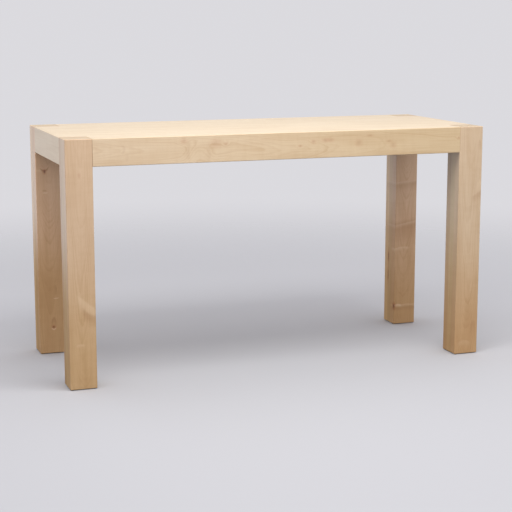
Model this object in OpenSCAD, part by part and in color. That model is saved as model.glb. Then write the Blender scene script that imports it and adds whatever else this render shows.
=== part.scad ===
// Communion table of pale maple: four square legs run up flush through the corners of a deep, mitred top.
// Two hanger bolts and a corner block draw each leg against the rails, so the legs come off for moving.
// Lengths are in millimetres. X runs along the table, Z is up, and the origin is on the floor under its middle.

/* [Table] */
// Length over the outer faces of the legs
table_l = 2000; // [1400:10:2600]
// Depth over the outer faces of the legs
table_w = 800; // [640:10:1200]
// Height of the top face above the floor
table_h = 1100; // [700:10:1200]
// Width of the small chamfer that eases every outer arris
arris_ease = 2; // [0.5:0.25:4]
// Hairline between a leg and the rails and top that meet it
seam_gap = 0.3; // [0.1:0.1:1]

/* [Legs] */
// Side of a square leg
leg_s = 120; // [100:1:150]
// Width of the flat planed on a leg's inner arris, where its bolts go in
leg_flat_w = 30; // [24:1:40]
// Length of that flat below the corner block
leg_flat_run = 6; // [1:1:12]

/* [Top and rails] */
// Thickness of the top panel
top_t = 30; // [24:1:40]
// Thickness of a rail
rail_t = 30; // [24:1:40]
// Height of a rail from its lower edge to the top face
rail_h = 120; // [105:1:160]

/* [Splines in the mitres] */
// Thickness of a spline
spline_t = 4; // [3:0.5:6]
// Width of a spline across the mitre
spline_w = 16; // [10:1:20]
// Distance of a spline's middle from the inner end of the mitre
spline_back = 10; // [6:1:12]
// Room around a spline in its groove
spline_fit = 0.1; // [0.05:0.05:0.3]
// Room at a spline's edges and ends
spline_end_gap = 0.5; // [0.2:0.1:2]

/* [Dowels between rails and legs] */
// Diameter of a rail dowel
rail_dowel_d = 12; // [8:1:14]
// Length of a rail dowel
rail_dowel_l = 60; // [40:2:80]
// Height of the lower dowel above the rail's lower edge
rail_dowel_rise = 22; // [12:1:30]
// Depth of the upper dowel below the underside of the top
rail_dowel_drop = 20; // [12:1:30]
// Width of the chamfer at a dowel's ends
dowel_ease = 1.5; // [0.5:0.25:2]

/* [Bearers under the top] */
// Width of a bearer
bearer_w = 60; // [50:1:90]
// Height of a bearer's lower face above the rail's lower edge
bearer_lift = 20; // [5:1:35]
// Diameter of a bearer dowel
bearer_dowel_d = 10; // [6:1:12]
// Length of a bearer dowel
bearer_dowel_l = 36; // [24:2:40]
// Distance between the two dowels at a bearer's end
bearer_dowel_pitch = 30; // [20:1:34]

/* [Corner blocks] */
// Thickness of a corner block across its bolts
block_t = 30; // [24:1:40]
// Height of a block's lower face above the rail's lower edge
block_lift = 10; // [0:1:20]
// Open gap between a block and its leg, which the bolts pull towards shut
draw_gap = 2; // [0.5:0.5:5]
// Wood left under a block screw's head
block_seat = 10; // [6:1:12]
// Distance between the two screws at a block's end
block_screw_pitch = 40; // [20:1:44]

/* [Hanger bolts] */
// Diameter of a bolt
bolt_d = 10; // [8:1:12]
// Depth of a bolt in its leg
bolt_embed = 60; // [40:1:70]
// Length of a bolt past its nut
bolt_proud = 5; // [2:1:10]
// Distance between a leg's two bolts
bolt_pitch = 40; // [28:1:44]
// Width across the flats of a nut
nut_af = 17; // [14:1:19]
// Height of a nut
nut_h = 8; // [6:0.5:10]
// Outer diameter of a washer
washer_d = 22; // [20:1:26]
// Thickness of a washer
washer_t = 2; // [1:0.5:3]
// Length of a bolt's point in its leg
bolt_tip = 5; // [2:0.5:8]
// Width of the chamfer at a bolt's other end
bolt_ease = 1; // [0.5:0.25:2]
// Room around a bolt in the block and the washer
bolt_room = 0.5; // [0.2:0.1:1]

/* [Screws] */
// Diameter of a wood screw
screw_d = 5; // [4:0.5:6]
// Diameter of a screw's head
screw_head_d = 10; // [8:0.5:11]
// Height of a screw's head
screw_head_h = 3; // [2:0.5:4]
// Width across the flats of the socket in a screw's head
screw_socket_af = 4; // [3:0.5:4.5]
// Depth of that socket
screw_socket_depth = 1.5; // [0.5:0.25:1.75]
// Length of a screw's pointed tip
screw_tip = 5; // [2:1:8]
// Length of a screw that holds a corner block to a rail
block_screw_l = 30; // [24:1:32]
// Length of a screw that holds a bearer to the top
bearer_screw_l = 56; // [40:1:58]
// Depth of a bearer screw in the top
bearer_screw_bite = 16; // [10:1:18]
// Number of screws in a bearer
bearer_screw_count = 4; // [2:1:6]
// Room around a fastener or dowel in its bore
bore_fit = 0.1; // [0.05:0.05:0.2]
// Room past the end of a fastener or dowel
bore_end_gap = 1; // [0.5:0.5:3]
// Room around a screw's head
head_room = 0.5; // [0.3:0.1:1]

/* [Glides] */
// Diameter of a glide
glide_d = 50; // [30:1:80]
// Height of a glide below its leg
glide_h = 3; // [2:0.5:8]
// Depth of a glide's seat in its leg
glide_seat = 2; // [1:0.5:5]
// Width of the chamfer round a glide's rim
glide_ease = 1; // [0.5:0.25:2]
// Room round a glide in its seat
glide_fit = 0.3; // [0.1:0.1:0.5]
// Diameter of a glide's screw
glide_screw_d = 4; // [3:0.5:5]
// Diameter of that screw's countersunk head
glide_head_d = 8; // [7:0.5:10]
// Height of that screw's countersunk head
glide_head_h = 2.4; // [1.5:0.1:3]
// Depth of that head above the floor
glide_head_recess = 0.8; // [0.4:0.1:1]
// Length of that screw with its head
glide_screw_l = 30; // [20:1:45]
// Length of that screw's pointed tip
glide_screw_tip = 4; // [2:0.5:6]

/* [Hidden] */
$fn = 48;

LEFT = -1;
RIGHT = 1;
FRONT = -1;
REAR = 1;
SIDES = [-1, 1];
BEARERS = [-1, 0, 1];
HEX = 6;
CUT = 1;

MAPLE_LEG = "#D9BA93";
MAPLE_RAIL = "#DFC5A0";
MAPLE_TOP = "#F0DDBE";
PLYWOOD = "#C9AE86";
BEECH = "#CFA67C";
ZINC = "#B8BCC0";
NYLON = "#4A4744";

// Heights of the faces that pieces share
rail_low = table_h - rail_h;
top_low = table_h - top_t;
mitre = min(top_t, rail_t);
spline_at = mitre - spline_back;

// A dowel's two heights in a rail
rail_dowel_heights = [rail_low + rail_dowel_rise, top_low - rail_dowel_drop];

// Bearers part the space between the end rails into equal bays
bearer_pitch = (table_l - 2 * rail_t) / (len(BEARERS) + 1);
bearer_low = rail_low + bearer_lift;
bearer_run = table_w - 2 * rail_t;
bearer_dowel_z = (bearer_low + top_low) / 2;
bearer_screw_seat = top_low + bearer_screw_bite - bearer_screw_l;

// Sums of the two inward distances from the outer corner, on the faces that lie across the corner
flat_sum = 2 * leg_s - leg_flat_w / sqrt(2);
block_leg_sum = flat_sum + draw_gap * sqrt(2);
block_room_sum = block_leg_sum + block_t * sqrt(2);
block_low = rail_low + block_lift;
block_mid_z = (block_low + top_low) / 2;
block_screw_at = (block_leg_sum + block_room_sum) / 2 - rail_t;

// Distances along a bolt, counted from the leg's flat towards the middle of the table
washer_at = draw_gap + block_t;
nut_at = washer_at + washer_t;
bolt_end = nut_at + nut_h + bolt_proud;

glide_top = glide_h + glide_seat;

// Width across the corners of a hexagon, from its width across the flats
function hex_across_corners(across_flats) = across_flats / cos(180 / HEX);

// A rectangle with its four corners cut
module eased_rect(w, h, ease) {
    polygon([
        [ease, 0], [w - ease, 0], [w, ease], [w, h - ease],
        [w - ease, h], [ease, h], [0, h - ease], [0, ease]
    ]);
}

// A box with all twelve arrises eased
module eased_box(size, ease) {
    intersection() {
        linear_extrude(size.z) eased_rect(size.x, size.y, ease);
        translate([0, size.y, 0])
            rotate([90, 0, 0])
                linear_extrude(size.y) eased_rect(size.x, size.z, ease);
        rotate([90, 0, 90])
            linear_extrude(size.x) eased_rect(size.y, size.z, ease);
    }
}

// Places a piece drawn inward from the table's outer corner in one of its four corners
module in_corner(x_side, y_side) {
    mirror([max(x_side, 0), 0, 0])
        mirror([0, max(y_side, 0), 0])
            translate([-table_l / 2, -table_w / 2, 0])
                children();
}

// Draws the children as they are, and again with the two inward directions swapped
module both_ways() {
    children();
    mirror([1, -1, 0]) children();
}

// Runs a profile, drawn inward from the outer face and up from the floor, along the front or rear
module along_front(y_side, end_gap) {
    run = table_l - 2 * (leg_s + end_gap);
    mirror([0, max(y_side, 0), 0])
        translate([-run / 2, -table_w / 2, 0])
            rotate([90, 0, 90])
                linear_extrude(run) children();
}

// Runs such a profile along the left or right end
module along_end(x_side, end_gap) {
    run = table_w - 2 * (leg_s + end_gap);
    mirror([max(x_side, 0), 0, 0])
        translate([-table_l / 2, run / 2, 0])
            rotate([90, 0, 0])
                linear_extrude(run) children();
}

// Places children on a bolt's line, with their Z from the leg's flat towards the middle of the table
module on_bolts() {
    flat_middle = flat_sum / 2;
    for (side = SIDES)
        translate([flat_middle, flat_middle, block_mid_z + side * bolt_pitch / 2])
            rotate([0, 90, 45])
                children();
}

// Places children at the dowels that join the front rail to a leg, with Z along the rail
module on_rail_dowels() {
    for (z = rail_dowel_heights)
        translate([leg_s, rail_t / 2, z])
            rotate([0, 90, 0])
                children();
}

// Places children at a block's screws in the front rail, with Z from the rail into the block
module on_block_screws() {
    for (side = SIDES)
        translate([block_screw_at, rail_t + block_seat, block_mid_z + side * block_screw_pitch / 2])
            rotate([-90, 0, 0])
                children();
}

// Places children at all dowels of the three bearers, with Z along the bearer
module on_bearer_dowels() {
    for (index = BEARERS, x_side = SIDES, y_side = SIDES)
        translate([
            index * bearer_pitch + x_side * bearer_dowel_pitch / 2,
            y_side * bearer_run / 2,
            bearer_dowel_z
        ])
            rotate([90, 0, 0])
                children();
}

// Places children at all screws of the three bearers, with Z down out of the bearer
module on_bearer_screws() {
    step = bearer_run / bearer_screw_count;
    for (index = BEARERS, number = [1:bearer_screw_count])
        translate([index * bearer_pitch, (number - 0.5) * step - bearer_run / 2, bearer_screw_seat])
            rotate([180, 0, 0])
                children();
}

// A dowel with eased ends, centred on the joint
module dowel(d, l) {
    rotate_extrude()
        polygon([
            [0, -l / 2], [d / 2 - dowel_ease, -l / 2], [d / 2, dowel_ease - l / 2],
            [d / 2, l / 2 - dowel_ease], [d / 2 - dowel_ease, l / 2], [0, l / 2]
        ]);
}

// The bore that a dowel goes into from either side
module dowel_bore(d, l) {
    cylinder(d = d + 2 * bore_fit, h = l + 2 * bore_end_gap, center = true);
}

// A wood screw whose head sits on Z = 0, with its tip below
module wood_screw(l) {
    difference() {
        union() {
            cylinder(d = screw_head_d, h = screw_head_h);
            translate([0, 0, screw_tip - l]) cylinder(d = screw_d, h = l - screw_tip);
            translate([0, 0, -l]) cylinder(d1 = 0, d2 = screw_d, h = screw_tip);
        }
        translate([0, 0, screw_head_h - screw_socket_depth])
            cylinder(d = hex_across_corners(screw_socket_af), h = screw_socket_depth + CUT, $fn = HEX);
    }
}

// The bore for a wood screw's shank
module shank_bore(l) {
    translate([0, 0, -l - bore_end_gap])
        cylinder(d = screw_d + 2 * bore_fit, h = l + bore_end_gap + CUT);
}

// The counterbore through which a wood screw's head goes in
module head_way(l) {
    cylinder(d = screw_head_d + 2 * head_room, h = l);
}

// A rail's section: its upper edge is mitred to the top panel
module rail_profile() {
    polygon(concat(
        [[arris_ease, rail_low], [rail_t - arris_ease, rail_low], [rail_t, rail_low + arris_ease]],
        rail_t > mitre ? [[rail_t, table_h - mitre]] : [],
        [
            [mitre, table_h - mitre],
            [arris_ease / 2, table_h - arris_ease / 2],
            [0, table_h - arris_ease],
            [0, rail_low + arris_ease]
        ]
    ));
}

// The top panel's section over a given width, mitred at both edges
module top_profile(w) {
    near = concat(
        [[arris_ease, table_h], [arris_ease / 2, table_h - arris_ease / 2], [mitre, table_h - mitre]],
        top_t > mitre ? [[mitre, top_low]] : []
    );
    far = [for (i = [len(near) - 1:-1:0]) [w - near[i].x, near[i].y]];
    polygon(concat(near, far));
}

// A spline's section across the mitre, grown by the room given
module spline_profile(room, edge_room) {
    translate([spline_at, table_h - spline_at])
        rotate(45)
            square([spline_w + 2 * edge_room, spline_t + 2 * room], center = true);
}

module leg(x_side, y_side) {
    color(MAPLE_LEG)
        in_corner(x_side, y_side)
            difference() {
                translate([0, 0, glide_h])
                    eased_box([leg_s, leg_s, table_h - glide_h], arris_ease);
                leg_flat_cut();
                on_bolts()
                    translate([0, 0, -bolt_embed - bore_end_gap])
                        cylinder(d = bolt_d + 2 * bore_fit, h = bolt_embed + bore_end_gap + CUT);
                both_ways()
                    on_rail_dowels()
                        dowel_bore(rail_dowel_d, rail_dowel_l);
                glide_seat_cut();
            }
}

// What is planed off a leg's inner arris, from below the block to the underside of the top
module leg_flat_cut() {
    low = block_low - leg_flat_run;
    outside = leg_s + CUT;
    translate([0, 0, low])
        linear_extrude(top_low - low)
            polygon([
                [flat_sum - outside, outside],
                [outside, flat_sum - outside],
                [outside, outside]
            ]);
}

// The round seat for a glide in a leg's foot, with the bore for its screw
module glide_seat_cut() {
    translate([leg_s / 2, leg_s / 2, 0]) {
        cylinder(d = glide_d + 2 * glide_fit, h = glide_top);
        cylinder(
            d = glide_screw_d + 2 * bore_fit,
            h = glide_head_recess + glide_screw_l + bore_end_gap
        );
    }
}

module rail_long(y_side) {
    color(MAPLE_RAIL)
        difference() {
            along_front(y_side, seam_gap) rail_profile();
            along_front(y_side, seam_gap - CUT) spline_profile(spline_fit, spline_end_gap);
            for (x_side = SIDES)
                in_corner(x_side, y_side) {
                    on_rail_dowels() dowel_bore(rail_dowel_d, rail_dowel_l);
                    on_block_screws() shank_bore(block_screw_l);
                }
            on_bearer_dowels() dowel_bore(bearer_dowel_d, bearer_dowel_l);
        }
}

module rail_short(x_side) {
    color(MAPLE_RAIL)
        difference() {
            along_end(x_side, seam_gap) rail_profile();
            along_end(x_side, seam_gap - CUT) spline_profile(spline_fit, spline_end_gap);
            for (y_side = SIDES)
                in_corner(x_side, y_side)
                    mirror([1, -1, 0]) {
                        on_rail_dowels() dowel_bore(rail_dowel_d, rail_dowel_l);
                        on_block_screws() shank_bore(block_screw_l);
                    }
        }
}

module top_panel() {
    notch = leg_s + seam_gap;
    color(MAPLE_TOP)
        difference() {
            intersection() {
                translate([-table_l / 2, -table_w / 2, 0])
                    rotate([90, 0, 90])
                        linear_extrude(table_l) top_profile(table_w);
                translate([-table_l / 2, table_w / 2, 0])
                    rotate([90, 0, 0])
                        linear_extrude(table_w) top_profile(table_l);
            }
            for (x_side = SIDES, y_side = SIDES)
                in_corner(x_side, y_side)
                    translate([-CUT, -CUT, top_low - CUT])
                        cube([notch + CUT, notch + CUT, top_t + 2 * CUT]);
            for (side = SIDES) {
                along_front(side, seam_gap - CUT) spline_profile(spline_fit, spline_end_gap);
                along_end(side, seam_gap - CUT) spline_profile(spline_fit, spline_end_gap);
            }
            on_bearer_screws() shank_bore(bearer_screw_l);
        }
}

module spline_long(y_side) {
    color(PLYWOOD)
        along_front(y_side, seam_gap + spline_end_gap) spline_profile(0, 0);
}

module spline_short(x_side) {
    color(PLYWOOD)
        along_end(x_side, seam_gap + spline_end_gap) spline_profile(0, 0);
}

// A bearer across the table at one of the quarter points, counted from the middle
module bearer(index) {
    color(MAPLE_RAIL)
        difference() {
            translate([index * bearer_pitch - bearer_w / 2, -bearer_run / 2, bearer_low])
                rotate([90, 0, 90])
                    linear_extrude(bearer_w)
                        square([bearer_run, top_low - bearer_low]);
            on_bearer_dowels() dowel_bore(bearer_dowel_d, bearer_dowel_l);
            on_bearer_screws() {
                shank_bore(bearer_screw_l);
                head_way(bearer_screw_seat - bearer_low + CUT);
            }
        }
}

// A block across the corner, glued and screwed to both rails
module corner_block(x_side, y_side) {
    color(MAPLE_RAIL)
        in_corner(x_side, y_side)
            difference() {
                translate([0, 0, block_low])
                    linear_extrude(top_low - block_low)
                        polygon([
                            [block_leg_sum - rail_t, rail_t], [block_room_sum - rail_t, rail_t],
                            [rail_t, block_room_sum - rail_t], [rail_t, block_leg_sum - rail_t]
                        ]);
                on_bolts()
                    cylinder(d = bolt_d + 2 * bolt_room, h = washer_at + CUT);
                both_ways()
                    on_block_screws() {
                        shank_bore(block_screw_l);
                        head_way(block_t);
                    }
            }
}

module glide(x_side, y_side) {
    hole_r = glide_screw_d / 2 + bore_fit;
    head_r = glide_head_d / 2 + bore_fit;
    color(NYLON)
        in_corner(x_side, y_side)
            translate([leg_s / 2, leg_s / 2, 0])
                rotate_extrude()
                    polygon([
                        [head_r, 0], [glide_d / 2 - glide_ease, 0], [glide_d / 2, glide_ease],
                        [glide_d / 2, glide_top], [hole_r, glide_top],
                        [hole_r, glide_head_recess + glide_head_h], [head_r, glide_head_recess]
                    ]);
}

module rail_dowels() {
    color(BEECH)
        for (x_side = SIDES, y_side = SIDES)
            in_corner(x_side, y_side)
                both_ways()
                    on_rail_dowels() dowel(rail_dowel_d, rail_dowel_l);
}

module bearer_dowels() {
    color(BEECH)
        on_bearer_dowels() dowel(bearer_dowel_d, bearer_dowel_l);
}

module hanger_bolts() {
    color(ZINC)
        for (x_side = SIDES, y_side = SIDES)
            in_corner(x_side, y_side)
                on_bolts()
                    rotate_extrude()
                        polygon([
                            [0, -bolt_embed], [bolt_d / 2, bolt_tip - bolt_embed],
                            [bolt_d / 2, bolt_end - bolt_ease], [bolt_d / 2 - bolt_ease, bolt_end],
                            [0, bolt_end]
                        ]);
}

module bolt_washers() {
    color(ZINC)
        for (x_side = SIDES, y_side = SIDES)
            in_corner(x_side, y_side)
                on_bolts()
                    translate([0, 0, washer_at])
                        difference() {
                            cylinder(d = washer_d, h = washer_t);
                            translate([0, 0, -CUT])
                                cylinder(d = bolt_d + 2 * bolt_room, h = washer_t + 2 * CUT);
                        }
}

module bolt_nuts() {
    color(ZINC)
        for (x_side = SIDES, y_side = SIDES)
            in_corner(x_side, y_side)
                on_bolts()
                    translate([0, 0, nut_at])
                        difference() {
                            cylinder(d = hex_across_corners(nut_af), h = nut_h, $fn = HEX);
                            translate([0, 0, -CUT])
                                cylinder(d = bolt_d + 2 * bore_fit, h = nut_h + 2 * CUT);
                        }
}

module block_screws() {
    color(ZINC)
        for (x_side = SIDES, y_side = SIDES)
            in_corner(x_side, y_side)
                both_ways()
                    on_block_screws() wood_screw(block_screw_l);
}

module bearer_screws() {
    color(ZINC)
        on_bearer_screws() wood_screw(bearer_screw_l);
}

module glide_screws() {
    shank_at = glide_head_recess + glide_head_h;
    tip_at = glide_head_recess + glide_screw_l;
    color(ZINC)
        for (x_side = SIDES, y_side = SIDES)
            in_corner(x_side, y_side)
                translate([leg_s / 2, leg_s / 2, 0])
                    rotate_extrude()
                        polygon([
                            [0, glide_head_recess], [glide_head_d / 2, glide_head_recess],
                            [glide_screw_d / 2, shank_at],
                            [glide_screw_d / 2, tip_at - glide_screw_tip], [0, tip_at]
                        ]);
}

leg(LEFT, FRONT);  // leg_front_left
leg(RIGHT, FRONT);  // leg_front_right
leg(LEFT, REAR);  // leg_rear_left
leg(RIGHT, REAR);  // leg_rear_right
rail_long(FRONT);  // rail_front
rail_long(REAR);  // rail_rear
rail_short(LEFT);  // rail_left
rail_short(RIGHT);  // rail_right
top_panel();
spline_long(FRONT);  // spline_front
spline_long(REAR);  // spline_rear
spline_short(LEFT);  // spline_left
spline_short(RIGHT);  // spline_right
bearer(-1);  // bearer_left
bearer(0);  // bearer_centre
bearer(1);  // bearer_right
corner_block(LEFT, FRONT);  // corner_block_front_left
corner_block(RIGHT, FRONT);  // corner_block_front_right
corner_block(LEFT, REAR);  // corner_block_rear_left
corner_block(RIGHT, REAR);  // corner_block_rear_right
glide(LEFT, FRONT);  // glide_front_left
glide(RIGHT, FRONT);  // glide_front_right
glide(LEFT, REAR);  // glide_rear_left
glide(RIGHT, REAR);  // glide_rear_right
rail_dowels();
bearer_dowels();
hanger_bolts();
bolt_washers();
bolt_nuts();
block_screws();
bearer_screws();
glide_screws();
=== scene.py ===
# %% [markdown]
# A plain communion table in pale maple. Its construction comes ready made: every leg, rail, dowel and
# bolt is a solid in one shared frame, in metres, with X along the table, Y from front to rear and Z up.
# The shapes are right as they are, so this lesson leaves them where they stand and gives each one its
# finish: wood that follows the way each board was sawn, zinc on the hidden bolts, nylon under the feet,
# and a quiet studio to see them in.

# %% Load the table
import math
from dataclasses import dataclass, replace

import bmesh
import bpy
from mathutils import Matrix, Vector


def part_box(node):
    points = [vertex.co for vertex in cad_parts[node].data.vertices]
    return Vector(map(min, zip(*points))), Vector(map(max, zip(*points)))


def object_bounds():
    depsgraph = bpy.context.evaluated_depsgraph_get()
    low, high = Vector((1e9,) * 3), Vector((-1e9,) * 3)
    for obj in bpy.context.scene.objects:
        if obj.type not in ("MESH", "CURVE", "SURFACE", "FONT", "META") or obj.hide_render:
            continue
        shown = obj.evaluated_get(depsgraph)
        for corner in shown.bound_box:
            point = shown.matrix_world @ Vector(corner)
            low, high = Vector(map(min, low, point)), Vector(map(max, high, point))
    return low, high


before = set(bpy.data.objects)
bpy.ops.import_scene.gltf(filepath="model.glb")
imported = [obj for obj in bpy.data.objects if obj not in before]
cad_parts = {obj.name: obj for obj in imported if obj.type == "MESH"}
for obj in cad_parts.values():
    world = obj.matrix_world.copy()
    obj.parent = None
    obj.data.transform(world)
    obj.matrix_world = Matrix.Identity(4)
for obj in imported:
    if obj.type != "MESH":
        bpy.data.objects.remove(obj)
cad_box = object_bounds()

table_low, table_high = (Vector(corner) for corner in cad_box)
table_size = table_high - table_low
print("pieces:", len(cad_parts), "size:", [round(side, 3) for side in table_size])

# %% [markdown]
# The camera is the first thing to settle, because every later choice is judged through it. It was worked
# out from the straight edges of the table in the picture: a long lens at standing eye height, to the left
# of the middle. A camera looks down its own -Z, so a quarter turn about X sets it level, and the tilt is
# taken off that.

# %% Camera
PICTURE_SIDE = 512
FOCAL_LENGTH_IN_PIXELS = 1350.76
SENSOR_WIDTH = 36.0
EYE = (-2.1673, -6.0421, 1.6391)
QUARTER_TURN = 90.0
TURNED_RIGHT = 19.7745
TILTED_DOWN = 10.3151

lens = bpy.data.cameras.new("eye")
lens.sensor_width = SENSOR_WIDTH
lens.lens = SENSOR_WIDTH * FOCAL_LENGTH_IN_PIXELS / PICTURE_SIDE
camera = bpy.data.objects.new("eye", lens)
camera.location = EYE
camera.rotation_euler = (math.radians(QUARTER_TURN - TILTED_DOWN), 0, math.radians(-TURNED_RIGHT))
bpy.context.scene.collection.objects.link(camera)
bpy.context.scene.camera = camera
print("lens:", round(lens.lens, 2), "mm, eye height:", EYE[2], "m")

# %% [markdown]
# Materials in Blender are graphs of nodes, and a graph with many sums in it is hard to read as a list of
# links. Here an output socket is wrapped in a small class, so that 1 - mask or height * depth adds the
# Math node by itself.

# %% Sums on sockets
class Value:
    """An output socket that takes part in Python sums."""

    def __init__(self, shader, socket):
        self.shader = shader
        self.socket = socket

    def out(self, name):
        """Another output of the same node."""
        return Value(self.shader, self.socket.node.outputs[name])

    def math(self, operation, *values):
        return self.shader.node("ShaderNodeMath", {"operation": operation}, dict(enumerate(values)))

    def __add__(self, other):
        return self.math("ADD", self, other)

    def __sub__(self, other):
        return self.math("SUBTRACT", self, other)

    def __rsub__(self, other):
        return self.math("SUBTRACT", other, self)

    def __mul__(self, other):
        return self.math("MULTIPLY", self, other)

    def __truediv__(self, other):
        return self.math("DIVIDE", self, other)

    def __pow__(self, other):
        return self.math("POWER", self, other)

    def __mod__(self, other):
        return self.math("FLOORED_MODULO", self, other)

    def __abs__(self):
        return self.math("ABSOLUTE", self)

    __radd__ = __add__
    __rmul__ = __mul__

print("reflected sums:", [name for name in vars(Value) if name.startswith("__r")])

# %% [markdown]
# Every other node comes from one method. It sets the node's settings first, because they decide which
# sockets the node has, and then fills or links the sockets, by name or by number.

# %% One method for every node
class Shader:
    """A tree of shader nodes that grows by one call per node."""

    def __init__(self, tree):
        self.tree = tree
        self.tree.nodes.clear()

    def node(self, kind, settings=None, sockets=None):
        """Adds a node and gives its first output in use."""
        made = self.tree.nodes.new(kind)
        for name, setting in (settings or {}).items():
            setattr(made, name, setting)
        for key, value in (sockets or {}).items():
            socket = self.socket_of(made, key)
            if isinstance(value, Value):
                self.tree.links.new(value.socket, socket)
            else:
                socket.default_value = value
        first = next((socket for socket in made.outputs if socket.enabled), None)
        return Value(self, first) if first else made

    @staticmethod
    def socket_of(made, key):
        """An input by its number, or by its name among those that the node's settings leave in use."""
        if isinstance(key, int):
            return made.inputs[key]
        return next(socket for socket in made.inputs if socket.name == key and socket.enabled)

print("a node is made by:", Shader.node.__doc__)

# %% [markdown]
# The studio comes next, and it is plain: an even pale surround, a pale floor without an edge, and soft
# lamps. The surround could be one colour for everything, but a tone that looks right behind the table
# gives too little light to stand in for a whole bright room. Light Path tells the two apart: rays from
# the eye, in a mirror or through glass meet the surround as it looks, and light on its way to the wood
# gets a little more of it.

# %% Surround
SURROUND = (0.71, 0.703, 0.735)
AMBIENT_STRENGTH = 1.25

def greatest(*values):
    """The greatest of some values."""
    top = values[0]
    for value in values[1:]:
        top = top.math("MAXIMUM", top, value)
    return top

def seen_rays(shader):
    """1 for rays that show a thing, 0 for light that bounces off it."""
    ray = shader.node("ShaderNodeLightPath")
    return greatest(ray.out("Is Camera Ray"), ray.out("Is Glossy Ray"), ray.out("Is Transmission Ray"))

def build_surround():
    world = bpy.data.worlds.new("studio")
    world.use_nodes = True
    bpy.context.scene.world = world
    shader = Shader(world.node_tree)
    colour = (*SURROUND, 1.0)
    given = shader.node("ShaderNodeBackground", None, {"Color": colour, "Strength": AMBIENT_STRENGTH})
    shown = shader.node("ShaderNodeBackground", None, {"Color": colour, "Strength": 1.0})
    light = shader.node("ShaderNodeMixShader", None, {0: seen_rays(shader), 1: given, 2: shown})
    shader.node("ShaderNodeOutputWorld", None, {"Surface": light})
    print("surround:", SURROUND, "light times", AMBIENT_STRENGTH)

build_surround()

# %% [markdown]
# Two things come back in nearly every finish: a mask that rises smoothly between two values, and the place
# of a point. A place is a vector, so it goes through Vector Math, since a Math node would keep only one
# number of it. It is read in the table's own frame, so a pattern stays in its board from every side.

# %% Masks and places
def rise(value, low, high):
    """0 at low, 1 at high, smooth between; low may be above high."""
    sockets = {"Value": value, "From Min": low, "From Max": high}
    return value.shader.node("ShaderNodeMapRange", {"interpolation_type": "SMOOTHSTEP"}, sockets)

def vector_math(shader, operation, *vectors):
    return shader.node("ShaderNodeVectorMath", {"operation": operation}, dict(enumerate(vectors)))

def place_in_frame(shader):
    """Where a point lies in the table's frame, in metres."""
    return shader.node("ShaderNodeTexCoord").out("Object")

print("helpers:", [helper.__name__ for helper in (rise, vector_math, place_in_frame)])

# %% [markdown]
# The floor could be a big plane with a backdrop, but a backdrop gets in the way when the table is seen
# from behind. A disc that turns clear towards its rim melts into the surround from every side. It is
# clear from below as well, so that the underside of the table can be looked at. Light that bounces finds
# the floor darker than it looks, so that the legs grow deeper in tone towards their feet.

# %% Floor
FLOOR_PALE = (0.56, 0.56, 0.575)
FLOOR_BOUNCE = (0.075, 0.073, 0.07)
FLOOR_SOLID_RADIUS = 1.6
FLOOR_CLEAR_RADIUS = 5.6
FLOOR_RADIUS = 14.0
FLOOR_SIDES = 96

def floor_material():
    material = bpy.data.materials.new("studio_floor")
    material.use_nodes = True
    shader = Shader(material.node_tree)
    seen = seen_rays(shader)
    pale = shader.node("ShaderNodeBsdfDiffuse", None, {"Color": (*FLOOR_PALE, 1.0)})
    dark = shader.node("ShaderNodeBsdfDiffuse", None, {"Color": (*FLOOR_BOUNCE, 1.0)})
    matt = shader.node("ShaderNodeMixShader", None, {0: seen, 1: dark, 2: pale})
    clear = shader.node("ShaderNodeBsdfTransparent")
    reach = vector_math(shader, "LENGTH", place_in_frame(shader))
    below = shader.node("ShaderNodeNewGeometry").out("Backfacing")
    fade = greatest(below, rise(reach, FLOOR_SOLID_RADIUS, FLOOR_CLEAR_RADIUS)) * seen
    surface = shader.node("ShaderNodeMixShader", None, {0: fade, 1: matt, 2: clear})
    shader.node("ShaderNodeOutputMaterial", None, {"Surface": surface})
    return material

def build_floor():
    mesh = bpy.data.meshes.new("studio_floor")
    disc = bmesh.new()
    bmesh.ops.create_circle(disc, cap_ends=True, segments=FLOOR_SIDES, radius=FLOOR_RADIUS)
    disc.to_mesh(mesh)
    disc.free()
    mesh.materials.append(floor_material())
    floor = bpy.data.objects.new("studio_floor", mesh)
    floor.location.z = table_low.z
    bpy.context.scene.collection.objects.link(floor)
    print("floor:", round(floor.dimensions.x, 2), "m across")

build_floor()

# %% [markdown]
# Three lamps shape the table. A long softbox above the front edge makes the top the brightest face and
# lets the light fall off down the legs. A wide, weak one in front, at the height of the top, reaches
# under it to the rear legs. A small one at the left opens up the end of the table, and a grid before it
# keeps its light narrow, so that little of it falls on the feet. A single lamp could do it all, but then
# the rear legs would drown in the shadow of the top. The two weak lamps stand so low that, seen from
# across the table, the lacquer would mirror them as white patches, so they are left out of reflections.

# %% Lamps
KEY_PLACE = (-0.1, -1.2, 3.0)
KEY_SIZE = (3.0, 1.0)
KEY_POWER = 44.0
FILL_PLACE = (0.0, -4.5, 1.2)
FILL_SIZE = (4.0, 1.2)
FILL_POWER = 32.0
SIDE_PLACE = (-4.4, 0.0, 1.6)
SIDE_SIZE = (1.6, 1.0)
SIDE_POWER = 0.7
OPEN_SPREAD = 180.0
GRID_SPREAD = 24.0
LIT_POINT = Vector((0.0, 0.0, 0.9))

def soft_lamp(name, place, size, power, spread, mirrored):
    data = bpy.data.lights.new(name, "AREA")
    data.shape = "RECTANGLE"
    data.size, data.size_y = size
    data.energy = power
    data.spread = math.radians(spread)
    lamp = bpy.data.objects.new(name, data)
    lamp.location = place
    lamp.rotation_euler = (LIT_POINT - lamp.location).to_track_quat("-Z", "Y").to_euler()
    lamp.visible_camera = False
    lamp.visible_glossy = mirrored
    bpy.context.scene.collection.objects.link(lamp)
    print("lamp:", name, power, "W at", place)

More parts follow.
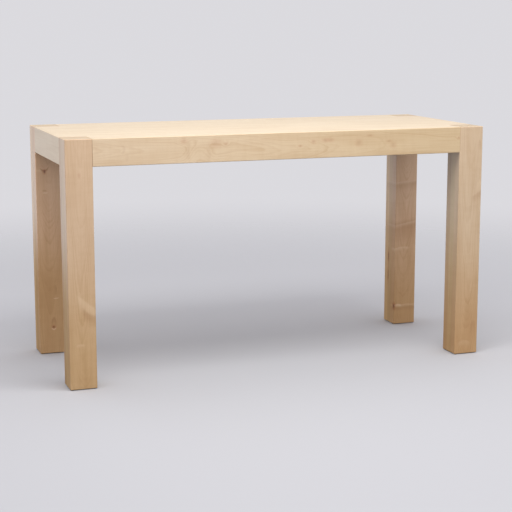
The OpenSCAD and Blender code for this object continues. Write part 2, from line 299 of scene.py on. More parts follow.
soft_lamp("key_softbox", KEY_PLACE, KEY_SIZE, KEY_POWER, OPEN_SPREAD, mirrored=True)
soft_lamp("fill_softbox", FILL_PLACE, FILL_SIZE, FILL_POWER, OPEN_SPREAD, mirrored=False)
soft_lamp("side_softbox", SIDE_PLACE, SIDE_SIZE, SIDE_POWER, GRID_SPREAD, mirrored=False)

# %% [markdown]
# Wood is not a picture laid on a surface: it is a stack of growth rings that the saw cuts through. So
# each board says how it lay in its tree, and the figure follows on all its faces at once, end grain
# included. A board names its axes along the grain, across the face and into the wood, the place of the
# tree's heart behind the face, and how that heart drifts away along the length, which is what draws the
# pointed arches on a flat-sawn face. A glued-up board also names the thickness of its layers or the width
# of its strips, and every board says how strong its figure is and how much lacquer lies on it.

# %% A board and its place in the tree
@dataclass
class Board:
    """One board as it was sawn. Lengths are in metres."""

    axes: str
    face: float
    inward: int
    heart_across: float
    heart_depth: float
    drift: float
    seed: int
    tints: tuple
    tinted_from: float
    tinted_to: float
    layer: float = 1.0
    layer_tones: tuple = ()
    strip: float = 0.0
    figure: float = 1.0
    knots: tuple = ()
    marks: tuple = ()
    coat: float = 0.75
    worn: tuple = ()
    askew: bool = False

print("a board says:", ", ".join(Board.__dataclass_fields__))

# %% [markdown]
# A shader only knows where a point lies in the table and which way it faces. From these come its place in
# the board, along, across and deep, and two masks: one for end grain, where the surface faces along the
# grain, and one for the eased arris, which faces no axis squarely. A hair's breadth of skin is added to
# the depth, so that the face itself counts as part of the first layer. A block that sits askew in its
# corner is folded into one corner and turned by half a right angle first.

# %% A point in the grain
END_GRAIN_FACING = (0.75, 0.9)
ARRIS_FACING = (0.98, 0.8)
HALF_TURN = math.sqrt(0.5)
SKIN = 0.0004

@dataclass
class Grain:
    """Where a point lies in its board, as sockets."""

    shader: Shader
    along: Value
    across: Value
    deep: Value
    end: Value
    arris: Value

def split(place):
    parts = place.shader.node("ShaderNodeSeparateXYZ", None, {"Vector": place})
    return parts.out("X"), parts.out("Y"), parts.out("Z")

def turn_askew(place, facing):
    """Folds the four corners of the table into one and turns that corner by 45 degrees."""
    x, y, z = place
    side_x = facing[0] * x.math("SIGN", x)
    side_y = facing[1] * y.math("SIGN", y)
    turned_place = ((abs(x) - abs(y)) * HALF_TURN, (abs(x) + abs(y)) * HALF_TURN, z)
    turned_facing = ((side_x - side_y) * HALF_TURN, (side_x + side_y) * HALF_TURN, facing[2])
    return turned_place, turned_facing

def read_grain(shader, board):
    coordinates = shader.node("ShaderNodeTexCoord")
    place = split(coordinates.out("Object"))
    facing = split(coordinates.out("Normal"))
    if board.askew:
        place, facing = turn_askew(place, facing)
    along, across, third = (place["xyz".index(axis)] for axis in board.axes)
    facing = [abs(part) for part in facing]
    end = rise(facing["xyz".index(board.axes[0])], *END_GRAIN_FACING)
    arris = rise(greatest(*facing), *ARRIS_FACING)
    return Grain(shader, along, across, (third - board.face) * board.inward + SKIN, end, arris)

print("a point knows:", ", ".join(Grain.__dataclass_fields__))

# %% [markdown]
# Much in wood is noise that is drawn out along the grain. One kind of noise serves for all of it, with so
# many waves to the metre along and across. Where a thing has a number, such as a year or a glued strip, a
# lot is drawn for that number, so that no two are alike and each stays the same over its whole length.

# %% Noise along the grain
SEED_STEP_ALONG = 7.31
SEED_STEP_ACROSS = 3.17
LOT_STEP = 13.7
NOISE_MIDDLE = 0.5

@dataclass
class Waves:
    """Noise in the wood: waves per metre, a turn that tells it from the others, and how far it goes.

    As a tint it sets in between the noise values low and high. As a swing its share is in metres.
    """

    along: float
    across: float
    turn: int
    share: float
    low: float = 0.0
    high: float = 1.0
    detail: float = 2.0

def vector(shader, x, y, z):
    return shader.node("ShaderNodeCombineXYZ", None, {"X": x, "Y": y, "Z": z})

def noise(place, scale=1.0, detail=2.0):
    """Soft noise from 0 to 1, mostly near one half."""
    sockets = {"Vector": place, "Scale": scale, "Detail": detail}
    return place.shader.node("ShaderNodeTexNoise", None, sockets)

def grain_noise(grain, waves, seed):
    """Noise drawn out along the grain, from 0 to 1."""
    start = seed + waves.turn
    place = vector(
        grain.shader,
        grain.along * waves.along + start * SEED_STEP_ALONG,
        grain.across * waves.across + start * SEED_STEP_ACROSS,
        grain.deep * waves.across,
    )
    return noise(place, detail=waves.detail)

def tint(grain, waves, seed):
    """How far the waves tint a point."""
    return rise(grain_noise(grain, waves, seed), waves.low, waves.high) * waves.share

def swing(grain, waves, seed):
    """How far the waves push a point, to either side."""
    return (grain_noise(grain, waves, seed) - NOISE_MIDDLE) * waves.share

def lot(number, seed):
    """The same random share for each whole number."""
    settings = {"noise_dimensions": "1D"}
    return number.shader.node("ShaderNodeTexWhiteNoise", settings, {"W": number + seed * LOT_STEP})

print("waves say:", ", ".join(Waves.__dataclass_fields__))

# %% [markdown]
# Knots come before the rings, because the rings flow round them. Each is a small ellipsoid where a twig
# grew: a brown core, a warm halo, and a swelling that pushes the rings aside. A little noise on the place
# keeps the outlines from being neat.

# %% Knots
KNOT_WOBBLE = 0.007
KNOT_WOBBLE_SCALE = 70.0
CORE_REACH = (1.2, 0.0)
HALO_REACH = (2.4, 0.3)
SWELL_REACH = (4.5, 0.0)

@dataclass
class Knot:
    """A twig in a board: place and half sizes along, across and into it, darkness and swelling."""

    place: tuple
    size: tuple
    dark: float
    swell: float = 0.004

def wobbled_place(grain):
    """The place in the board, with a little noise on it."""
    shader = grain.shader
    place = vector(shader, grain.along, grain.across, grain.deep)
    wobble = noise(place, scale=KNOT_WOBBLE_SCALE).out("Color")
    middle = (NOISE_MIDDLE, NOISE_MIDDLE, NOISE_MIDDLE)
    spread = (KNOT_WOBBLE, KNOT_WOBBLE, KNOT_WOBBLE)
    centred = vector_math(shader, "SUBTRACT", wobble, middle)
    return vector_math(shader, "MULTIPLY_ADD", centred, spread, place)

def reach_from(place, middle, size):
    """The place seen from a middle, in half sizes."""
    away = vector_math(place.shader, "SUBTRACT", place, middle)
    return vector_math(place.shader, "DIVIDE", away, size)

def grow_knots(place, knots):
    """Sockets for the cores, the halos and the swelling of the rings."""
    core = halo = swelling = 0.0
    for knot in knots:
        reach = vector_math(place.shader, "LENGTH", reach_from(place, knot.place, knot.size))
        core = core + rise(reach, *CORE_REACH) * knot.dark**2
        halo = halo + rise(reach, *HALO_REACH) * knot.dark
        swelling = swelling + rise(reach, *SWELL_REACH) * knot.swell
    return core, halo, swelling

print("a halo reaches", HALO_REACH[0], "half sizes from its knot, the swelling", SWELL_REACH[0])

# %% [markdown]
# Beside the knots, where the saw runs through wood that grew round a twig, the figure shows as short bent
# dashes: pale crescents, brown wings and bands right across a face. One kind of mark draws them all. It
# has a sharp upper side and fades out downwards, its ends may bend up the grain, and it may lean.

# %% Marks
MARK_LOWER_FADE = (-1.0, 0.0)
MARK_UPPER_EDGE = (0.3, 0.0)
MARK_SIDE_FADE = (1.0, 0.5)

@dataclass
class Mark:
    """A dash on a board: place, half sizes, tone (pale above 0, brown below), bend and lean."""

    place: tuple
    size: tuple
    tone: float
    bend: float = 0.0
    lean: float = 0.0

def draw_marks(place, marks):
    """Sockets for the pale and the brown marks."""
    pale = brown = 0.0
    for mark in marks:
        along, across, deep = split(reach_from(place, mark.place, mark.size))
        height = along - across * across * mark.bend - across * mark.lean
        shape = rise(height, *MARK_LOWER_FADE) * rise(height, *MARK_UPPER_EDGE)
        shape = shape * rise(abs(across), *MARK_SIDE_FADE) * rise(abs(deep), *MARK_SIDE_FADE)
        if mark.tone > 0:
            pale = pale + shape * mark.tone
        else:
            brown = brown - shape * mark.tone
    return pale, brown

print("a mark fades from", MARK_SIDE_FADE[1], "of its half width")

# %% [markdown]
# The rings themselves: the distance from the heart, bent by slow noise as a trunk bends, divided by the
# width of a year. Its fraction runs through one year and darkens to a thin line at the end. Its whole
# number draws the lots for how strong that line is and how deep the year's own tone. A blank that is
# glued up from layers or strips has rings that jump at each glue line, as the pieces come from different
# places in the tree.

# %% Growth rings
YEAR = 0.0032
SWAY = Waves(along=1.3, across=2.0, turn=0, share=0.05)
BOW = Waves(along=1.0, across=2.0, turn=1, share=0.09)
RIPPLE = Waves(along=9.0, across=70.0, turn=2, share=0.0026)
LAYER_SHIFT = 0.031
STRIP_SHIFT = 0.4
LINE_START = (0.3, 0.85)
LINE_END = (1.0, 0.87)
LINE_POWER = 1.6

def whole(value):
    """A value rounded down."""
    return value.math("FLOOR", value)

def grow_rings(grain, board, swelling):
    """The dark line that ends each year, and the tone of that year, from 0 to 1."""
    shift = whole(grain.deep / board.layer) * LAYER_SHIFT
    if board.strip:
        shift = shift + lot(whole(grain.across / board.strip), board.seed) * STRIP_SHIFT
    side = grain.across - board.heart_across + swing(grain, SWAY, board.seed) + shift
    drift = grain.along * board.drift
    depth = grain.deep + board.heart_depth + drift + swing(grain, BOW, board.seed)
    radius = side.math("SQRT", side * side + depth * depth)
    years = (radius + swing(grain, RIPPLE, board.seed) + swelling) / YEAR
    within = years % 1.0
    strength = lot(years - within, board.seed) ** LINE_POWER
    tone = lot(years - within, board.seed + 1)
    return rise(within, *LINE_START) * rise(within, *LINE_END) * strength, tone

print("years across the table:", round(table_size.y / YEAR))

# %% [markdown]
# Now the colours. Maple is pale cream with a little pink, and it deepens with age and light, so each
# board has two of these tints, one for either end. On the legs the deeper foot tints, TAN and RUST, are
# partly the wood's own tone and partly painted shade that darkens the legs towards the floor. What is
# named a shade is no colour of its own: a tint is multiplied by it in the figure.

# %% Tints and shades of maple
IVORY = (0.79, 0.642, 0.43)
PEARL = (0.81, 0.648, 0.435)
CREAM = (0.82, 0.643, 0.442)
HONEY = (0.735, 0.556, 0.332)
SAND = (0.735, 0.555, 0.37)
PINK = (0.738, 0.528, 0.342)
ROSE = (0.78, 0.53, 0.34)
BLUSH = (0.82, 0.55, 0.35)
TAN = (0.665, 0.438, 0.226)
RUST = (0.635, 0.392, 0.195)
PALE = (0.94, 0.735, 0.50)
END_TINT = (0.62, 0.45, 0.255)
WARM_SHADE = (0.78, 0.68, 0.55)
LINE_SHADE = (0.80, 0.70, 0.58)
HALO_SHADE = (0.80, 0.55, 0.48)
MARK_SHADE = (0.62, 0.46, 0.34)
KNOT_BROWN = (0.17, 0.085, 0.04)

print("from cream", CREAM, "to rust", RUST)

# %% [markdown]
# Colours go through Mix nodes, because a Math node would turn them grey. Fixed colours for the figure
# would do for one board, but shades that are multiplied keep the same look on a pale top and on a tan
# foot.

# %% Mixing and shading
def blend(shader, factor, first, second, how="MIX"):
    """A colour between two colours."""
    first, second = ((*c, 1.0) if isinstance(c, tuple) else c for c in (first, second))
    settings = {"data_type": "RGBA", "blend_type": how}
    return shader.node("ShaderNodeMix", settings, {"Factor": factor, "A": first, "B": second})

def shade(colour, amount, tone):
    """A colour that is multiplied by a tone where the amount is above 0."""
    return blend(colour.shader, amount, colour, tone, "MULTIPLY")

print("a line at its darkest takes", [round(1.0 - part, 2) for part in LINE_SHADE], "off a tint")

# %% [markdown]
# Slow clouds, streaks, a trace of cross curl and fine fibres run through the plain wood, and each of
# these shades the tint of the board a little. End grain turns deeper, because it drinks more finish, and
# each glued layer behind the face has a tone of its own. Over that lie the years, the marks and the knots.

# %% The colour of a board
END_SHARE = 0.85
LINE_SHARE = 0.45
YEAR_SHARE = 0.10
SAME_LAYER = 0.5
CLOUDS = Waves(along=2.6, across=22.0, turn=3, share=0.35, low=0.35, high=0.75)
STREAKS = Waves(along=1.6, across=55.0, turn=4, share=0.25, low=0.6, high=0.78, detail=3.0)
CURL = Waves(along=38.0, across=9.0, turn=6, share=0.10, low=0.4, high=0.7)
FIBRES = Waves(along=5.0, across=170.0, turn=8, share=0.16, low=0.4, high=0.65)

def plain_maple(grain, board):
    """The tint of the board with its end grain, layers and noise."""
    low_tint, high_tint = board.tints
    along_board = rise(grain.along, board.tinted_from, board.tinted_to)
    colour = blend(grain.shader, along_board, low_tint, high_tint)
    colour = blend(grain.shader, grain.end * END_SHARE, colour, END_TINT)
    behind = whole(grain.deep / board.layer)
    for number, tone in enumerate(board.layer_tones, start=1):
        colour = shade(colour, behind.math("COMPARE", behind, number, SAME_LAYER), tone)
    for waves in (CLOUDS, STREAKS, CURL, FIBRES):
        colour = shade(colour, tint(grain, waves, board.seed), WARM_SHADE)
    return colour

def figured_maple(colour, board, rings, marks, knots):
    """The same wood with its years, marks and knots drawn in."""
    line, year = rings
    pale, brown = marks
    core, halo, _ = knots
    colour = shade(colour, year * (YEAR_SHARE * board.figure), WARM_SHADE)
    colour = shade(colour, line * (LINE_SHARE * board.figure), LINE_SHADE)
    colour = shade(colour, brown, MARK_SHADE)
    colour = blend(colour.shader, pale, colour, PALE)
    colour = shade(colour, halo, HALO_SHADE)
    return blend(colour.shader, core, colour, KNOT_BROWN)

print("shares of lines and years:", LINE_SHARE, YEAR_SHARE)

# %% [markdown]
# Over the wood lies a clear satin lacquer, so the shader has a coat: it gives the quiet grey sheen that
# the end of the table shows at a low angle. Pores are too fine to see from a step away, but close by they
# prick the surface, as colour, as a hair of roughness and as a bump. The coat is thinner on the eased
# arrises and on the end grain, and towards the feet, where shoes and brooms rub, it is worn dull. Wood
# inside the table is planed and oiled, and goes without the coat.

# %% Lacquer
PORES = Waves(along=110.0, across=2600.0, turn=5, share=0.25, low=0.5, high=0.75)
PORE_SINK = -0.6
LINE_SINK = -0.3
GRAIN_STRENGTH = 0.25
GRAIN_DEPTH = 0.0002
SATIN = 0.46
PORE_ROUGHNESS = 0.4
ARRIS_ROUGHNESS = 0.06
END_ROUGHNESS = 0.08
WORN_ROUGHNESS = 0.3
COAT_ROUGHNESS = 0.2
COAT_IOR = 1.5
COAT_LOST_ON_ARRIS = 0.33
COAT_LOST_ON_END = 0.4

def bump(height, strength, distance):
    """A normal that follows a height, where 1 stands for a distance in metres."""
    sockets = {"Strength": strength, "Distance": distance, "Height": height}
    return height.shader.node("ShaderNodeBump", None, sockets)

def maple_sockets(shader, board, lacquered):
    grain = read_grain(shader, board)
    place = wobbled_place(grain)
    knots = grow_knots(place, board.knots)
    rings = grow_rings(grain, board, knots[-1])
    pores = tint(grain, PORES, board.seed)
    colour = shade(plain_maple(grain, board), pores, WARM_SHADE)
    worn = 1.0 - rise(grain.along, *board.worn) if board.worn else 0.0
    rough = grain.arris * ARRIS_ROUGHNESS + grain.end * END_ROUGHNESS + worn * WORN_ROUGHNESS
    height = pores * PORE_SINK + rings[0] * LINE_SINK
    sockets = {
        "Base Color": figured_maple(colour, board, rings, draw_marks(place, board.marks), knots),
        "Roughness": SATIN + pores * PORE_ROUGHNESS + rough,
        "Normal": bump(height, GRAIN_STRENGTH, GRAIN_DEPTH),
    }
    if lacquered:
        left = 1.0 - grain.arris * COAT_LOST_ON_ARRIS - grain.end * COAT_LOST_ON_END
        sockets["Coat Weight"] = left * (1.0 - worn) * board.coat
        sockets["Coat Roughness"] = COAT_ROUGHNESS
        sockets["Coat IOR"] = COAT_IOR
    return sockets

print("satin roughness:", SATIN, "coat:", Board.coat)

# %% [markdown]
# A finish is complete when its sockets sit on a Principled shader and its pieces wear it. The pieces keep
# their own meshes: only the material in their first slot is changed. Each maple board gets a material of
# its own, because no two boards come from the same place in the tree.

# %% Dressing a piece
def finish_material(name, build):
    """A material whose Principled shader takes its sockets from build(shader)."""
    material = bpy.data.materials.new(name)
    material.use_nodes = True
    shader = Shader(material.node_tree)
    surface = shader.node("ShaderNodeBsdfPrincipled", None, build(shader))
    shader.node("ShaderNodeOutputMaterial", None, {"Surface": surface})
    print("material:", name, "with", len(material.node_tree.nodes), "nodes")
    return material

def dress(names, material):
    """Gives pieces of the frame a material in place of their own."""
    for name in names:
        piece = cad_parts[name]
        piece.data.materials.clear()
        piece.data.materials.append(material)

def maple(name, board, lacquered=True):
    """A maple material for one board."""
    return finish_material("maple_" + name, lambda shader: maple_sockets(shader, board, lacquered))

print("pieces to dress:", len(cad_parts))

# %% [markdown]
# Now the boards. The legs are glued up from three layers, front to rear, with the grain standing. Each
# leg is deeper in tone at the foot than at the head, partly as wood and partly as painted shade towards
# the floor, and behind its front layer it has two more, whose tones are set against that of the front one.

# %% Tones of the legs
DEEP_LAYER = (0.90, 0.87, 0.82)
EVEN_LAYER = (0.97, 1.00, 0.94)
LIGHT_LAYER = (1.12, 1.19, 1.14)

@dataclass
class LegTone:
    """A leg's tints at foot and head, the heights where these set in, and its layers behind the front."""

    foot: tuple
    head: tuple
    foot_height: float
    head_height: float
    layers: tuple

# The foot tints are deeper than the wood alone would be: in part they are painted shade towards the floor.
LEG_TONES = {
    "leg_front_left": LegTone(TAN, PINK, 0.05, 0.70, (EVEN_LAYER, DEEP_LAYER)),
    "leg_rear_left": LegTone(RUST, BLUSH, 0.30, 0.75, (EVEN_LAYER, LIGHT_LAYER)),
    "leg_rear_right": LegTone(RUST, ROSE, 0.05, 0.60, (EVEN_LAYER, LIGHT_LAYER)),
    "leg_front_right": LegTone(RUST, SAND, 0.0, 0.70, (EVEN_LAYER, DEEP_LAYER)),
}
print("legs:", ", ".join(LEG_TONES))

# %% [markdown]
# Knots and marks sit where they do on the real legs, so their places are given as one would measure them
# there: down from the top, in from the left arris of the face, and back from the face.

# %% Knots and marks of the legs
KNOT_DEPTH = 0.05
BAND_DEPTH = 0.16
LEG_KNOTS = {
    "leg_front_left": (
        Knot((0.154, 0.060, 0.0), (0.008, 0.004, KNOT_DEPTH), 0.25),
    ),
    "leg_rear_left": (
        Knot((0.213, 0.042, 0.0), (0.008, 0.006, KNOT_DEPTH), 0.90, swell=0.008),
        Knot((0.968, 0.067, 0.0), (0.006, 0.006, KNOT_DEPTH), 0.85, swell=0.008),
    ),
    "leg_rear_right": (
        Knot((0.745, 0.0, 0.076), (0.030, 0.020, 0.007), 0.75),
        Knot((0.845, 0.0, 0.078), (0.035, 0.020, 0.006), 0.75),
        Knot((1.000, 0.0, 0.004), (0.012, 0.007, 0.010), 1.0, swell=0.01),
    ),
    "leg_front_right": (),
}
LEG_MARKS = {
    "leg_front_left": (
        Mark((0.718, 0.080, 0.0), (0.060, 0.054, KNOT_DEPTH), 0.26, lean=-0.75),
        Mark((0.772, 0.098, 0.0), (0.060, 0.046, KNOT_DEPTH), -0.42, bend=0.3, lean=-0.4),
        Mark((0.896, 0.050, 0.0), (0.016, 0.022, KNOT_DEPTH), 0.16, bend=-0.3),
    ),
    "leg_rear_left": (
        Mark((0.206, 0.042, 0.0), (0.012, 0.026, KNOT_DEPTH), -0.75, bend=1.6, lean=0.3),
        Mark((0.205, 0.014, 0.0), (0.014, 0.014, KNOT_DEPTH), 0.30),
        Mark((0.313, 0.042, 0.0), (0.007, 0.015, KNOT_DEPTH), 0.45),
        Mark((0.302, 0.040, 0.0), (0.012, 0.012, KNOT_DEPTH), -0.35),
        Mark((0.770, 0.078, 0.0), (0.055, 0.013, KNOT_DEPTH), -0.22, bend=-1.0),
        Mark((0.826, 0.082, 0.0), (0.007, 0.016, KNOT_DEPTH), 0.45),
        Mark((0.925, 0.068, 0.0), (0.045, 0.016, KNOT_DEPTH), -0.35, bend=-0.8),
        Mark((0.978, 0.067, 0.0), (0.009, 0.014, KNOT_DEPTH), 0.60, bend=1.0),
    ),
    "leg_rear_right": (
        Mark((0.340, 0.060, 0.0), (0.018, 0.085, BAND_DEPTH), 0.26, lean=0.4),
        Mark((0.348, 0.060, 0.0), (0.055, 0.085, BAND_DEPTH), -0.36, lean=0.13),
        Mark((0.560, 0.060, 0.0), (0.020, 0.085, BAND_DEPTH), 0.26, lean=0.75),
        Mark((0.568, 0.060, 0.0), (0.125, 0.085, BAND_DEPTH), -0.40, lean=0.12),
        Mark((0.687, 0.035, 0.0), (0.022, 0.060, KNOT_DEPTH), 0.30, bend=-0.5, lean=0.2),
        Mark((0.993, 0.022, 0.0), (0.020, 0.026, KNOT_DEPTH), 0.45, bend=-0.4),
        Mark((0.995, 0.080, 0.0), (0.018, 0.060, KNOT_DEPTH), 0.22, bend=-0.4),
        Mark((1.005, 0.060, 0.0), (0.030, 0.085, KNOT_DEPTH), -0.25, bend=-0.3),
        Mark((0.120, 0.0, 0.026), (0.700, 0.010, 0.032), -0.10),
    ),
    "leg_front_right": (
        Mark((0.070, 0.105, 0.0), (0.055, 0.010, KNOT_DEPTH), -0.22, bend=-0.5),
        Mark((0.265, 0.112, 0.0), (0.060, 0.022, KNOT_DEPTH), 0.20, bend=-0.5),
        Mark((0.325, 0.098, 0.0), (0.050, 0.034, KNOT_DEPTH), -0.30, lean=0.4),
        Mark((0.380, 0.070, 0.0), (0.035, 0.050, KNOT_DEPTH), -0.10, lean=0.3),
        Mark((0.950, 0.095, 0.0), (0.090, 0.018, KNOT_DEPTH), -0.22, bend=-0.3),
        Mark((1.035, 0.050, 0.0), (0.030, 0.040, KNOT_DEPTH), 0.12, bend=-0.6),
    ),
}
print("marks on the legs:", {name: len(marks) for name, marks in LEG_MARKS.items()})

# %% [markdown]
# With the tones and the marks at hand, each leg is one board. All four hearts lie behind the middle of
# the front face and drift the same way, but each leg has a seed of its own, so their arches differ.

# %% Legs
LEG_WORN = (0.35, 0.75)
LEG_HEART_DEPTH = 0.12
LEG_DRIFT = -0.06
LEG_FIGURE = 0.9
LEG_SEED = 3
SEEDS_PER_BOARD = 10

def on_leg(items, low, high):
    """Knots or marks with their places turned from measurements into the frame."""
    for item in items:
        down, from_left, behind = item.place
        yield replace(item, place=(high.z - down, low.x + from_left, behind))

for number, (name, leg_tone) in enumerate(LEG_TONES.items()):
    low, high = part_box(name)
    leg_board = Board(
        axes="zxy",
        face=low.y,
        inward=1,
        heart_across=(low.x + high.x) / 2,
        heart_depth=LEG_HEART_DEPTH,
        drift=LEG_DRIFT,
        seed=number * SEEDS_PER_BOARD + LEG_SEED,
        tints=(leg_tone.foot, leg_tone.head),
        tinted_from=leg_tone.foot_height,
        tinted_to=leg_tone.head_height,
        layer=(high.y - low.y + 2 * SKIN) / (1 + len(leg_tone.layers)),
        layer_tones=leg_tone.layers,
        figure=LEG_FIGURE,
        knots=tuple(on_leg(LEG_KNOTS[name], low, high)),
        marks=tuple(on_leg(LEG_MARKS[name], low, high)),
        worn=LEG_WORN,
    )
    dress([name], maple(name, leg_board))

# %% [markdown]
# The front rail is a single board, and the one that people see. Its knots and marks are measured from the
# left end of the table, down from the top edge and back from the face. One of the knots has no dark of
# its own: it lies under the face and only swells the rings into an eye.

# %% Knots and marks of the front rail
FRONT_RAIL_KNOTS = (
    Knot((0.527, 0.022, 0.0), (0.010, 0.010, KNOT_DEPTH), 0.30, swell=0.006),
    Knot((0.595, 0.075, 0.0), (0.020, 0.018, KNOT_DEPTH), 0.0, swell=0.015),
    Knot((0.673, 0.038, 0.0), (0.018, 0.014, KNOT_DEPTH), 0.27),
    Knot((0.720, 0.040, 0.0), (0.006, 0.005, KNOT_DEPTH), 0.32),
    Knot((1.073, 0.062, 0.0), (0.006, 0.004, KNOT_DEPTH), 0.40),
    Knot((1.137, 0.044, 0.0), (0.008, 0.007, KNOT_DEPTH), 0.34),
    Knot((1.195, 0.040, 0.0), (0.012, 0.007, KNOT_DEPTH), 0.34),
    Knot((1.222, 0.040, 0.0), (0.012, 0.007, KNOT_DEPTH), 0.32),
    Knot((1.360, 0.056, 0.0), (0.013, 0.012, KNOT_DEPTH), 0.30),
    Knot((1.416, 0.025, 0.0), (0.011, 0.004, KNOT_DEPTH), 0.33),
    Knot((1.513, 0.053, 0.0), (0.009, 0.004, KNOT_DEPTH), 0.35),
    Knot((1.533, 0.072, 0.0), (0.012, 0.010, KNOT_DEPTH), 0.27),
    Knot((1.873, 0.050, 0.0), (0.006, 0.005, KNOT_DEPTH), 0.38),
)
FRONT_RAIL_MARKS = (
    Mark((0.262, 0.050, 0.0), (0.016, 0.026, KNOT_DEPTH), -0.18, bend=-1.0),
    Mark((0.275, 0.085, 0.0), (0.020, 0.020, KNOT_DEPTH), -0.12),
    Mark((0.547, 0.065, 0.0), (0.030, 0.050, KNOT_DEPTH), -0.14, bend=0.4),
    Mark((0.645, 0.080, 0.0), (0.030, 0.055, KNOT_DEPTH), -0.12, bend=-0.4),
)
print("knots in the front rail:", len(FRONT_RAIL_KNOTS))

# %% [markdown]
# The rail's grain lies along the table. The tree's heart is behind the face and a little below the middle
# of the rail, so the arches lie on their sides. The rail's left part is paler and pinker, its right part
# deeper and yellower.

# %% Front rail
RAIL_FIGURE = 0.9
HEART_OFF_MIDDLE = 0.01
rail_low, rail_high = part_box("rail_front")
rail_middle = (rail_low.z + rail_high.z) / 2

def on_rail(items):
    """Knots or marks with their places turned from measurements into the frame."""
    for item in items:
        from_left, below_top, behind = item.place
        yield replace(item, place=(table_low.x + from_left, table_high.z - below_top, behind))

front_rail_board = Board(
    axes="xzy",
    face=table_low.y,
    inward=1,
    heart_across=rail_middle - HEART_OFF_MIDDLE,
    heart_depth=0.11,
    drift=0.03,
    seed=50,
    tints=(CREAM, HONEY),
    tinted_from=table_low.x,
    tinted_to=table_high.x,
    figure=RAIL_FIGURE,
    knots=tuple(on_rail(FRONT_RAIL_KNOTS)),
    marks=tuple(on_rail(FRONT_RAIL_MARKS)),
)
dress(["rail_front"], maple("rail_front", front_rail_board))

# %% [markdown]
# The rear rail is a board from the same tree, sawn at another place and set with its face to the rear. It
# could be a copy of the front rail, but two boards with the same figure look printed. Python's replace
# makes a new board that differs only where it says so. The two end rails are paler and greyer, with a
# faint figure and the grain from front to rear.

# %% Rear and end rails
END_RAIL_FIGURE = 0.4
rear_rail_board = replace(
    front_rail_board,
    face=table_high.y,
    inward=-1,
    heart_across=rail_middle + HEART_OFF_MIDDLE,
    heart_depth=0.07,
    drift=-0.03,
    seed=57,
    knots=(),
    marks=(),
)
left_rail_board = replace(
    rear_rail_board,
    axes="yzx",
    face=table_low.x,
    inward=1,
    heart_across=rail_middle,
    drift=0.04,
    seed=64,
    tints=(PEARL, PEARL),
    figure=END_RAIL_FIGURE,
)
right_rail_board = replace(
    left_rail_board,
    face=table_high.x,
    inward=-1,
    heart_depth=0.08,
    drift=-0.04,
    seed=71,
)
dress(["rail_rear"], maple("rail_rear", rear_rail_board))
dress(["rail_left"], maple("rail_left", left_rail_board))
dress(["rail_right"], maple("rail_right", right_rail_board))

# %% [markdown]
# The top is glued up from strips, each with its own run of rings. A maker picks pale and quiet strips for
# it, so its figure is fainter than that of the front rail, and rubs its lacquer down, so that cups and
# plates don't show every scratch.

# %% Top
TOP_STRIP = 0.1
TOP_FIGURE = 0.4
TOP_COAT = 0.3
top_board = Board(
    axes="xyz",
    face=table_high.z,
    inward=-1,
    heart_across=0.0,
    heart_depth=0.09,
    drift=0.02,
    seed=80,
    tints=(IVORY, IVORY),
    tinted_from=table_low.x,
    tinted_to=table_high.x,
    strip=TOP_STRIP,
    figure=TOP_FIGURE,
    coat=TOP_COAT,
)
dress(["top_panel"], maple("top_panel", top_board))

# %% [markdown]
# Under the top lie three bearers, from front to rear, and in each corner a block that sits askew between
# two rails, so its grain runs from rail to rail. Nobody lacquers these: they are planed and oiled. The
# four blocks are cut from one length, so they share one board.

# %% Bearers and corner blocks
BEARERS = ("bearer_left", "bearer_centre", "bearer_right")
BEARER_SEED = 90
BLOCK_SEED = 127
BLOCK_SET_BACK = 0.05
blocks = [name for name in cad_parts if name.startswith("corner_block_")]
inner_board = replace(
    top_board,
    strip=0.0,
    figure=1.0,
    heart_depth=0.12,
    drift=0.03,
    tints=(CREAM, HONEY),
)

for number, name in enumerate(BEARERS):
    low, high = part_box(name)
    bearer_board = replace(
        inner_board,
        axes="yxz",
        heart_across=(low.x + high.x) / 2,
        seed=BEARER_SEED + number * SEEDS_PER_BOARD,
    )
    dress([name], maple(name, bearer_board, lacquered=False))

low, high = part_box(blocks[0])
block_middle = (low + high) / 2
block_board = replace(
    inner_board,
    axes="xzy",
    face=(abs(block_middle.x) + abs(block_middle.y)) * HALF_TURN - BLOCK_SET_BACK,
    inward=1,
    heart_across=block_middle.z,
    seed=BLOCK_SEED,
    askew=True,
)
dress(blocks, maple("corner_blocks", block_board, lacquered=False))

# %% [markdown]
# What is left is small and mostly hidden. The bolts, washers, nuts and screws are steel with a bright
# zinc plate, which is never quite even: a fine haze makes it duller in places. The hanger bolts also show
# their threads. Cut threads would be thousands of faces, so a bump runs along the bolts instead, and all
# of them lie at 45 degrees.

# %% Zinc
ZINC_BRIGHT = (0.66, 0.67, 0.69)
ZINC_DULL = (0.56, 0.57, 0.56)
ZINC_HAZE_SCALE = 220.0
ZINC_HAZE_DETAIL = 4.0
ZINC_GLOSS = 0.26
ZINC_HAZE_ROUGHNESS = 0.2
ZINC_PLATED = ("bolt_washers", "bolt_nuts", "block_screws", "bearer_screws", "glide_screws")
THREAD_PITCH = 0.0015
THREAD_DEPTH = 0.0009
THREAD_STRENGTH = 0.8
HALF_PITCH = 0.5

def zinc_sockets(shader):
    haze = noise(place_in_frame(shader), ZINC_HAZE_SCALE, ZINC_HAZE_DETAIL)
    return {
        "Base Color": blend(shader, haze, ZINC_BRIGHT, ZINC_DULL),
        "Metallic": 1.0,
        "Roughness": ZINC_GLOSS + haze * ZINC_HAZE_ROUGHNESS,
    }

def threaded_sockets(shader):
    x, y, _ = split(place_in_frame(shader))
    turns = (abs(x) + abs(y)) * (HALF_TURN / THREAD_PITCH)
    ridge = abs(turns % 1.0 - HALF_PITCH)
    return {**zinc_sockets(shader), "Normal": bump(ridge, THREAD_STRENGTH, THREAD_DEPTH)}

dress(ZINC_PLATED, finish_material("bright_zinc", zinc_sockets))
dress(["hanger_bolts"], finish_material("threaded_zinc", threaded_sockets))

# %% [markdown]
# The glides are moulded in dark nylon. A mould leaves a fine even grain, so the same noise tints them a
# little, breaks up their gloss and roughens the surface.

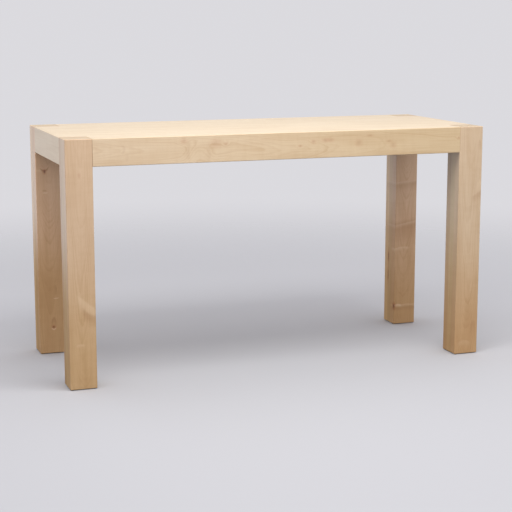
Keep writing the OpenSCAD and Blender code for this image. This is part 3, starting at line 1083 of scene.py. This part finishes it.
# %% Nylon
NYLON_DARK = (0.05, 0.046, 0.042)
NYLON_WORN = (0.085, 0.08, 0.074)
MOULD_SCALE = 1800.0
MOULD_STRENGTH = 0.2
MOULD_DEPTH = 0.0002
NYLON_SATIN = 0.45
MOULD_ROUGHNESS = 0.15
GLIDES = ("glide_front_left", "glide_front_right", "glide_rear_left", "glide_rear_right")

def nylon_sockets(shader):
    mould = noise(place_in_frame(shader), MOULD_SCALE)
    return {
        "Base Color": blend(shader, mould, NYLON_DARK, NYLON_WORN),
        "Roughness": NYLON_SATIN + mould * MOULD_ROUGHNESS,
        "Normal": bump(mould, MOULD_STRENGTH, MOULD_DEPTH),
    }

dress(GLIDES, finish_material("dark_nylon", nylon_sockets))

# %% [markdown]
# Inside the joints are raw beech dowels, with the short brown flecks that tell beech from other woods.
# They are too small to need rings: one fine noise, cut off high, is enough for the flecks.

# %% Dowels
BEECH_PALE = (0.62, 0.42, 0.265)
BEECH_FLECK = (0.46, 0.28, 0.16)
FLECK_SCALE = 900.0
FLECK_RANGE = (0.5, 0.7)
RAW_ROUGHNESS = 0.62
RAW_SPREAD = 0.1
DOWELS = ("rail_dowels", "bearer_dowels")

def beech_sockets(shader):
    fleck = rise(noise(place_in_frame(shader), FLECK_SCALE), *FLECK_RANGE)
    colour = blend(shader, fleck, BEECH_PALE, BEECH_FLECK)
    return {"Base Color": colour, "Roughness": RAW_ROUGHNESS + fleck * RAW_SPREAD}

dress(DOWELS, finish_material("raw_beech", beech_sockets))

# %% [markdown]
# The splines are strips of thin birch plywood in three plies. The plies lie parallel to a spline's faces,
# and a spline sits across its mitre, so they are counted along the mitre: the sum of the height and the
# distance from the middle of the table, at 45 degrees. The mitres at front and rear face Y, and those at
# the ends face X.

# %% Splines
BIRCH_FACE = (0.62, 0.47, 0.31)
BIRCH_CROSS = (0.50, 0.36, 0.22)
SPLINE_THICKNESS = 0.004
PLIES = 3
PLY_STEP = (0.46, 0.54)
two_plies = 2 * SPLINE_THICKNESS / PLIES

def plywood_sockets(across_mitre, height):
    along_mitre = (abs(across_mitre) + height) * HALF_TURN
    cross = rise((along_mitre / two_plies) % 1.0, *PLY_STEP)
    colour = blend(height.shader, cross, BIRCH_FACE, BIRCH_CROSS)
    return {"Base Color": colour, "Roughness": RAW_ROUGHNESS + cross * RAW_SPREAD}

def long_plywood(shader):
    _, y, z = split(place_in_frame(shader))
    return plywood_sockets(y, z)

def end_plywood(shader):
    x, _, z = split(place_in_frame(shader))
    return plywood_sockets(x, z)

dress(["spline_front", "spline_rear"], finish_material("birch_plywood_long", long_plywood))
dress(["spline_left", "spline_right"], finish_material("birch_plywood_end", end_plywood))

# %% [markdown]
# The looks must not change the size of the table, so the two boxes are written down side by side.
# Standard is the view transform that shows a colour as it was written.

# %% Finish
bpy.context.scene.view_settings.view_transform = "Standard"
